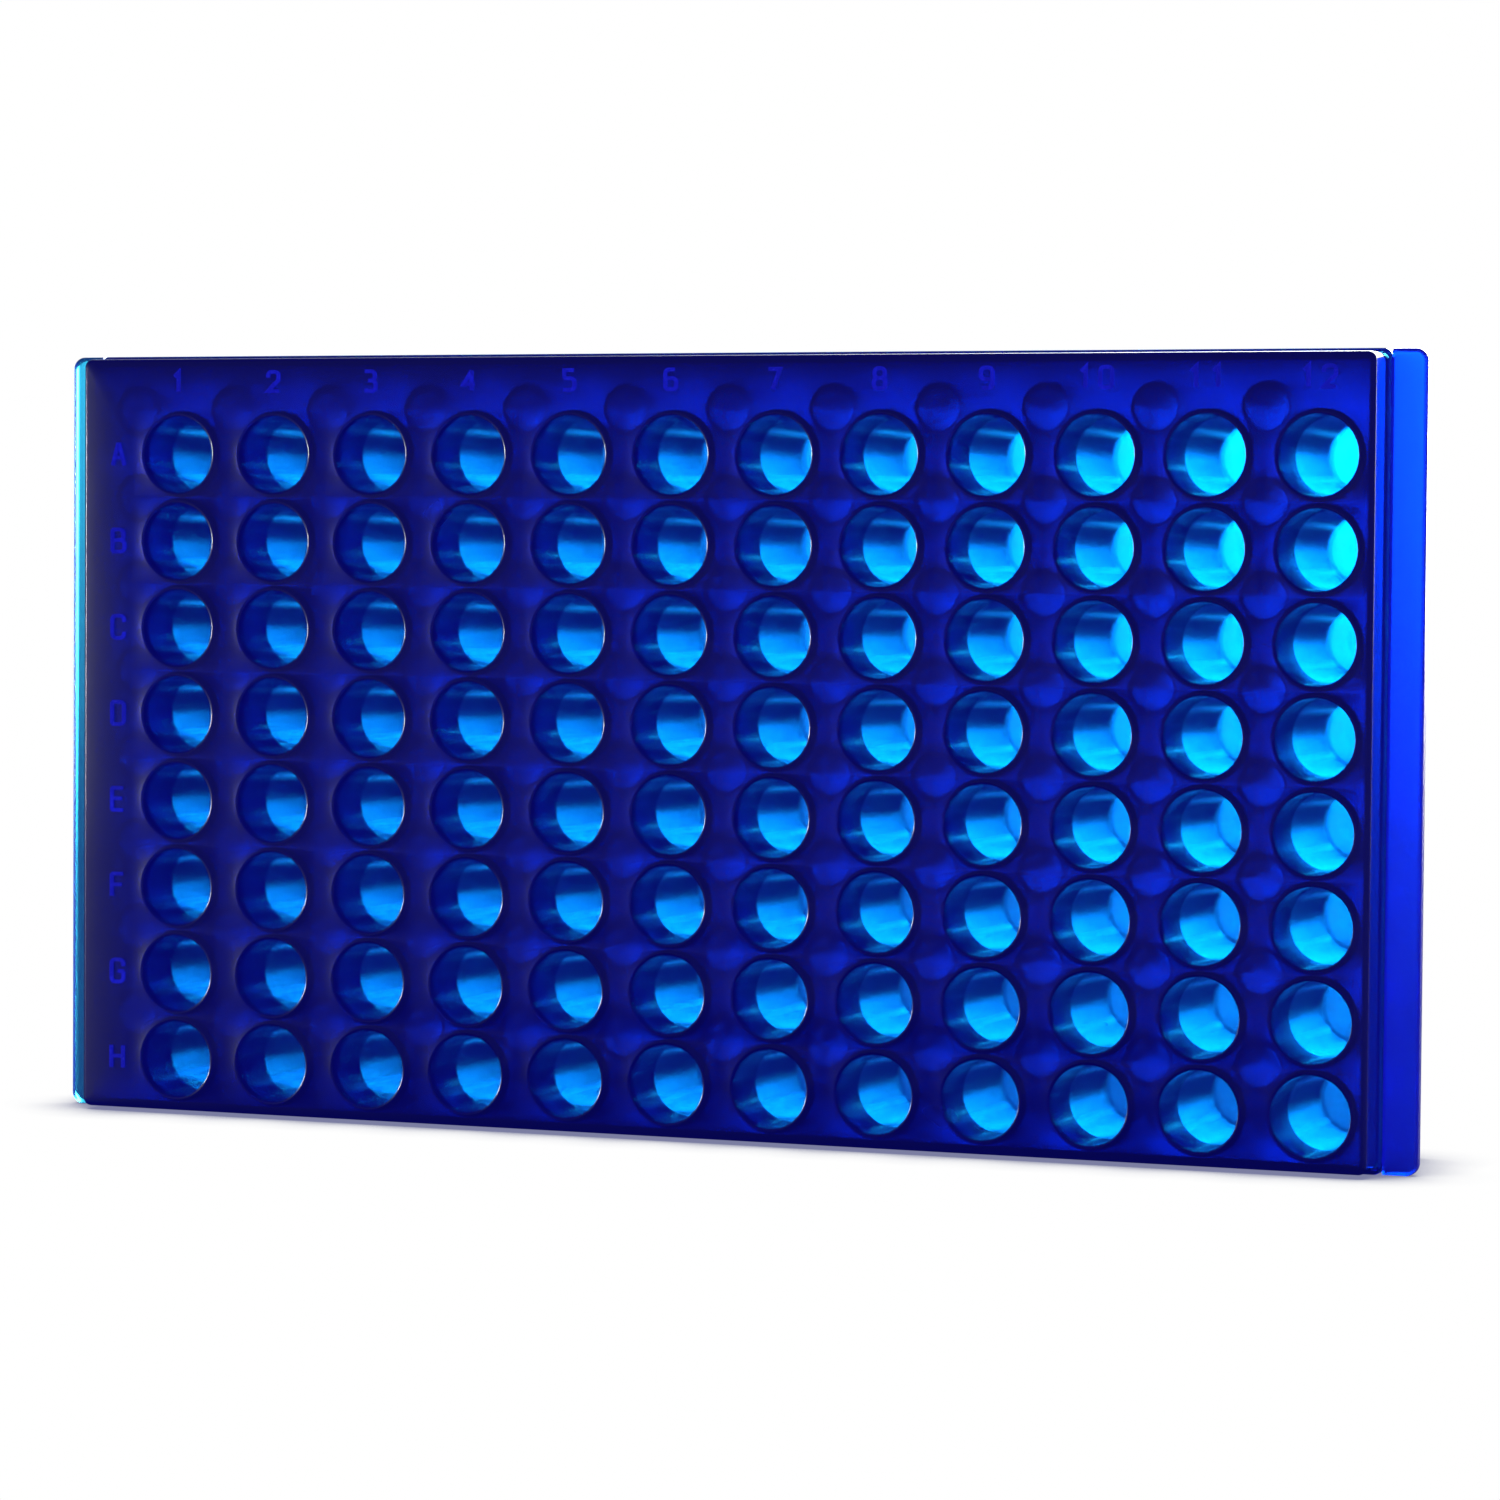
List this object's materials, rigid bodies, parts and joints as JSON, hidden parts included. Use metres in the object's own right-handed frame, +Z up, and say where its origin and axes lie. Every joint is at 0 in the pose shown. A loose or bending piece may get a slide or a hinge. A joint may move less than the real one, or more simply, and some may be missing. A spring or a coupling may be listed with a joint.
{
  "type": "reversible microtube rack",
  "caption": "Flat rectangular rack with a grid of round closed wells on each face, raised row and column marks, and a grip flange on each short end.",
  "frame": {"origin": "middle of the overall footprint, on the surface that the rack stands on when it stands on its long edge", "axes": "+X along the columns from 1 to 12, +Z up from row H to row A, loading face with the large wells towards -Y"},
  "size_m": [0.2112, 0.0283, 0.1142],
  "materials": {
    "front_shell": "glossy translucent deep-blue moulded polypropylene",
    "rear_shell": "glossy translucent deep-blue moulded polypropylene",
    "flanges": "glossy translucent blue moulded polypropylene, lighter where it is thin",
    "raised_marks": "raised marks in the same blue polypropylene"
  },
  "bodies": {
    "root": {"face_plate": "front_shell", "row_letters": "raised_marks", "column_numbers": "raised_marks", "front_rim_left": "front_shell", "front_rim_right": "front_shell", "front_rim_top": "front_shell", "front_rim_bottom": "front_shell", "large_wells_row_a": "front_shell", "large_wells_row_b": "front_shell", "large_wells_row_c": "front_shell", "large_wells_row_d": "front_shell", "large_wells_row_e": "front_shell", "large_wells_row_f": "front_shell", "large_wells_row_g": "front_shell", "large_wells_row_h": "front_shell", "rear_plate": "rear_shell", "rear_wall_left": "rear_shell", "rear_wall_right": "rear_shell", "rear_wall_top": "rear_shell", "rear_wall_bottom": "rear_shell", "end_flange_left": "flanges", "end_flange_right": "flanges", "small_wells_row_1": "rear_shell", "small_wells_row_2": "rear_shell", "small_wells_row_3": "rear_shell", "small_wells_row_4": "rear_shell", "small_wells_row_5": "rear_shell", "small_wells_row_6": "rear_shell", "small_wells_row_7": "rear_shell", "small_wells_row_8": "rear_shell"}
  },
  "joints": []
}
